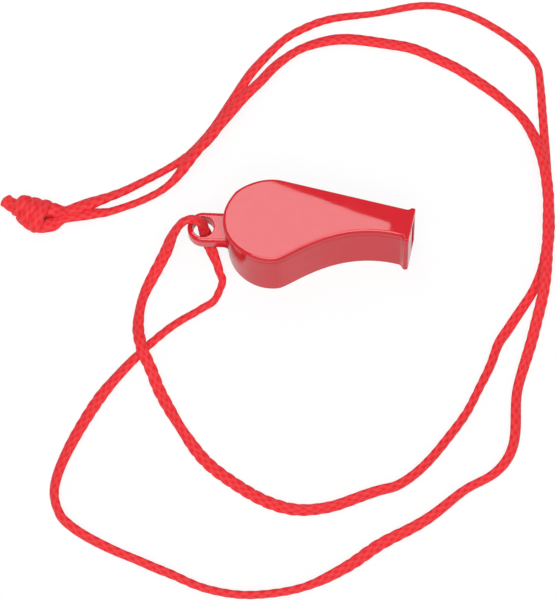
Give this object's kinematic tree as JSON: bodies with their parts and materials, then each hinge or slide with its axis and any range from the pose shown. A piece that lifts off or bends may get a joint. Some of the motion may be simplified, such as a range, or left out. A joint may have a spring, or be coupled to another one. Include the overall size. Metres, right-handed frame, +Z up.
{
  "type": "pea whistle",
  "caption": "Plastic pea whistle with a round chamber, lipped mouthpiece, sound window and lanyard eye, on a looped braided cord that ends in a knot.",
  "frame": {"origin": "on the chamber's axis, in the side face that the whistle rests on", "axes": "+X from the chamber towards the mouth, +Y towards the flat top with the sound window, +Z up, across the whistle's width, along the chamber's axis"},
  "size_m": [0.1295, 0.1544, 0.018],
  "materials": {
    "red_plastic": "glossy moulded plastic with satin walls",
    "cork": "natural cork",
    "red_braid": "braided nylon cord"
  },
  "bodies": {
    "whistle": {"whistle_body": "red_plastic", "side_cover": "red_plastic", "lanyard_upper_strand": "red_braid", "lanyard_lower_strand": "red_braid", "lanyard_knot": "red_braid"},
    "pea": {"pea": "cork"}
  },
  "joints": [
    {"name": "pea_orbit", "type": "hinge", "parent": "whistle", "child": "pea", "pos_m": [0, 0, 0.007], "axis": [0, 0, 1], "continuous": true}
  ]
}
